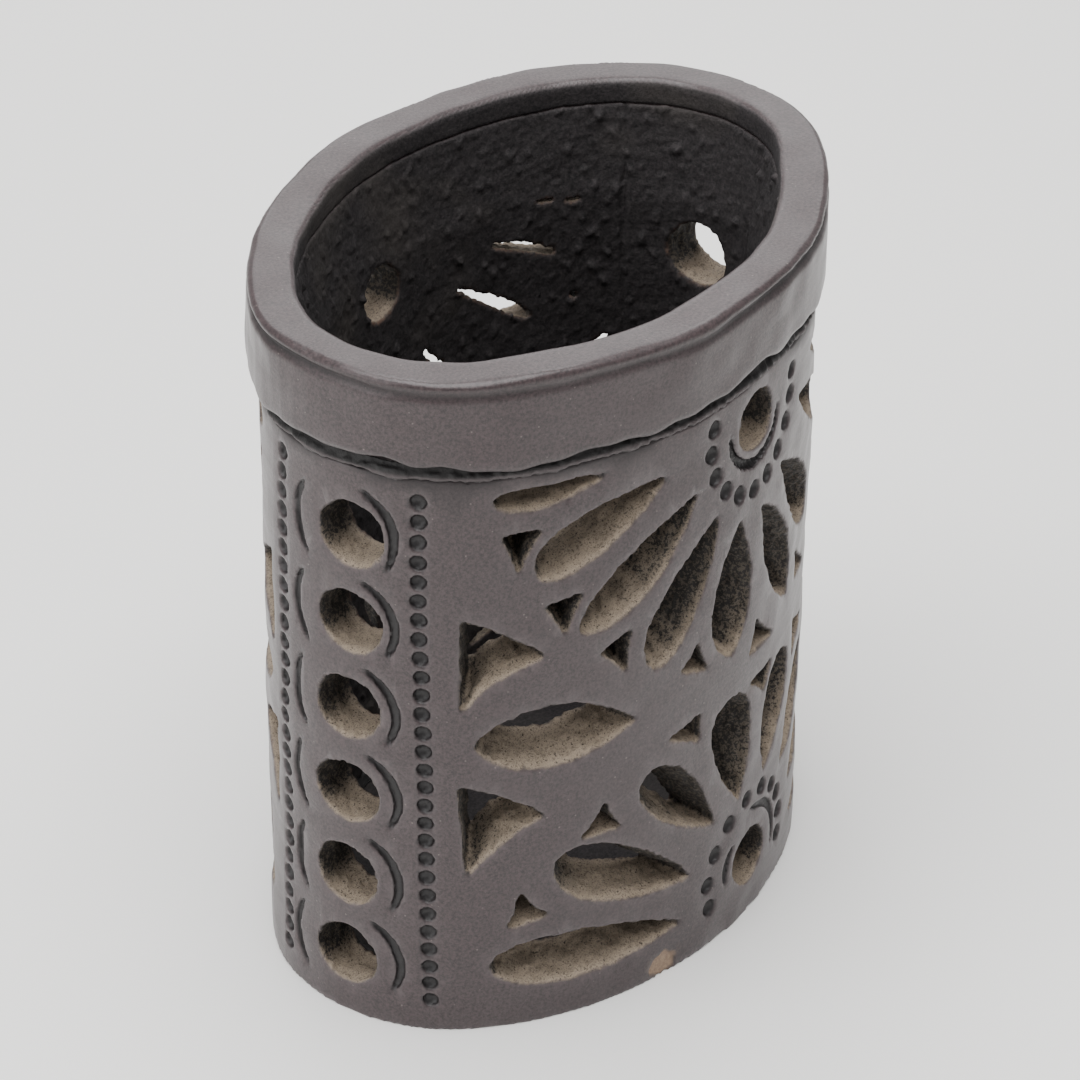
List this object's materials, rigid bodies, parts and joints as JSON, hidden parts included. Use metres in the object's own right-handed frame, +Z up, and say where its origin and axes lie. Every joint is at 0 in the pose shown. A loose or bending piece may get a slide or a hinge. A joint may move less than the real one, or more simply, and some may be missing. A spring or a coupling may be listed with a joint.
{
  "type": "pierced clay pot",
  "caption": "Oval black clay pot, open at the top, with a thick rim band and walls pierced by cut flowers, leaves and round holes.",
  "frame": {"origin": "middle of the foot, on the surface the pot stands on", "axes": "+X along the long axis of the oval, +Y towards the back face, +Z up through the mouth"},
  "size_m": [0.1, 0.0724, 0.108],
  "materials": {
    "burnished_clay": "burnished satin black clay",
    "raw_slip": "matte dark slip"
  },
  "bodies": {
    "root": {"floor_slab": "burnished_clay", "floor_seam_coil": "raw_slip", "front_wall": "burnished_clay", "back_wall": "burnished_clay", "left_end_wall": "burnished_clay", "right_end_wall": "burnished_clay", "rim_slip_bead": "raw_slip", "rim_band": "burnished_clay"}
  },
  "joints": []
}
